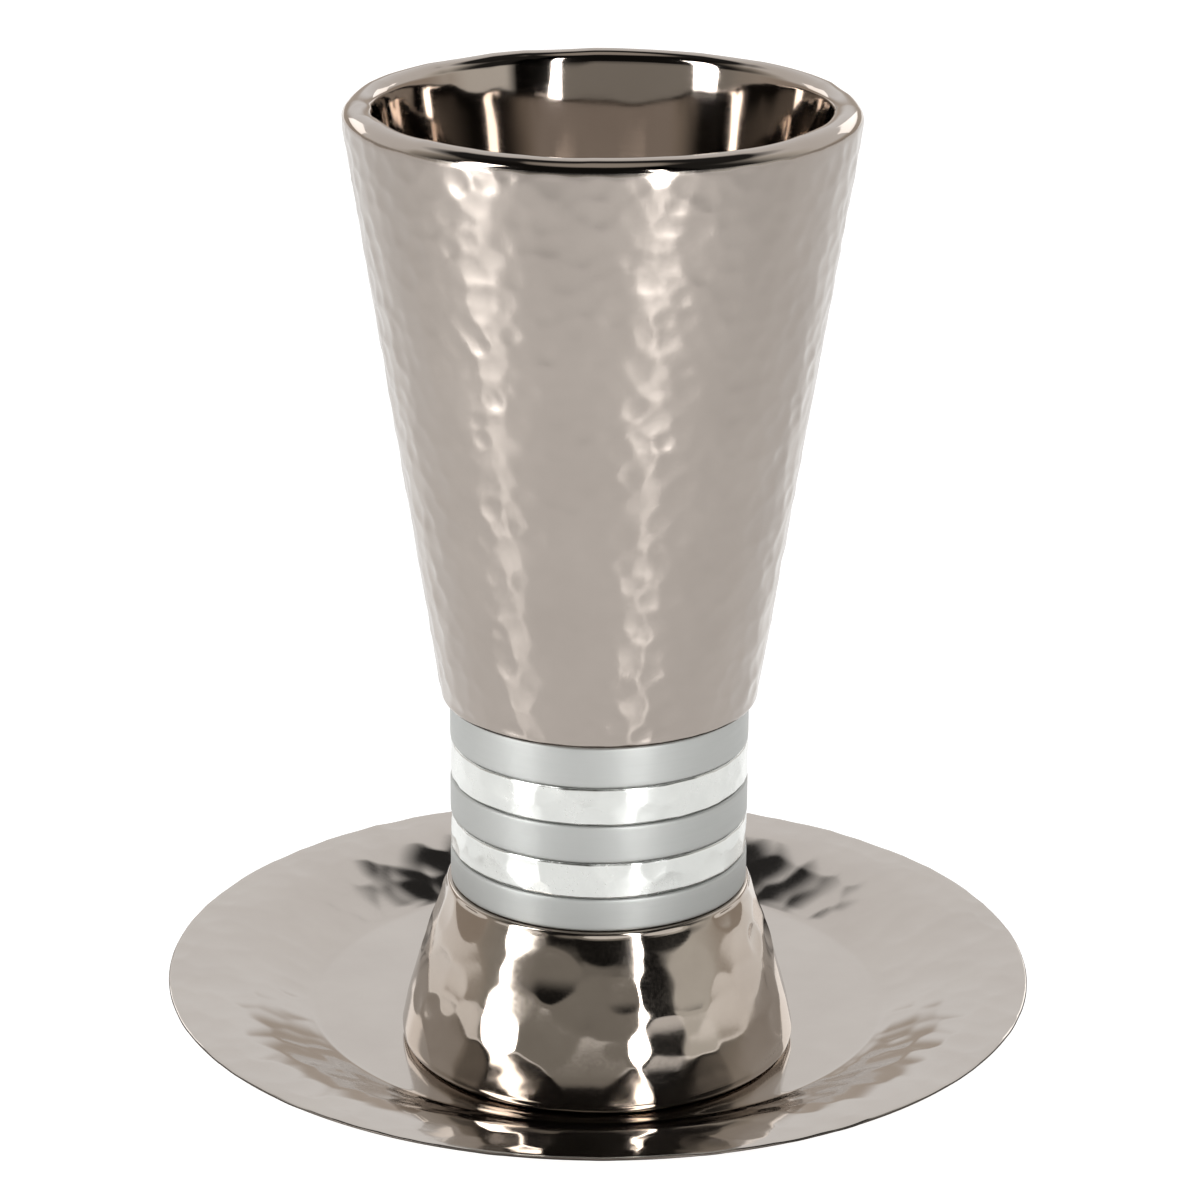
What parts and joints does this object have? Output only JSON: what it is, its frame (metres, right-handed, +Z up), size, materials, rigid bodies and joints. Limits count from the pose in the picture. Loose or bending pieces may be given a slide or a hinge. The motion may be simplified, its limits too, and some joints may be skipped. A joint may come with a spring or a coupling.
{
  "type": "kiddush cup with saucer",
  "caption": "Hammered conical metal goblet on a stack of plain and hammered metal rings and a flared foot, standing on a round flat-welled saucer with a broad hammered rim.",
  "frame": {"origin": "centre of the saucer's underside, where the set rests", "axes": "+Z up, along the cup; the cup stands 12 mm from the saucer's middle towards -Y, which is the front"},
  "size_m": [0.13, 0.13, 0.1433],
  "materials": {
    "saucer_nickel": "warm nickel plate, hammered and polished, mirror-smooth in the well",
    "foot_nickel": "warm nickel plate, coarsely hammered and polished",
    "ring_satin": "satin anodised, faintly brushed round the ring",
    "ring_hammered": "bright aluminium, lightly hammered and polished",
    "bowl_nickel": "warm nickel plate, finely hammered and satin outside, mirror-polished inside"
  },
  "bodies": {
    "root": {"saucer": "saucer_nickel", "foot": "foot_nickel", "ring_satin_bottom": "ring_satin", "ring_hammered_lower": "ring_hammered", "ring_satin_middle": "ring_satin", "ring_hammered_upper": "ring_hammered", "ring_satin_top": "ring_satin", "bowl": "bowl_nickel"}
  },
  "joints": []
}
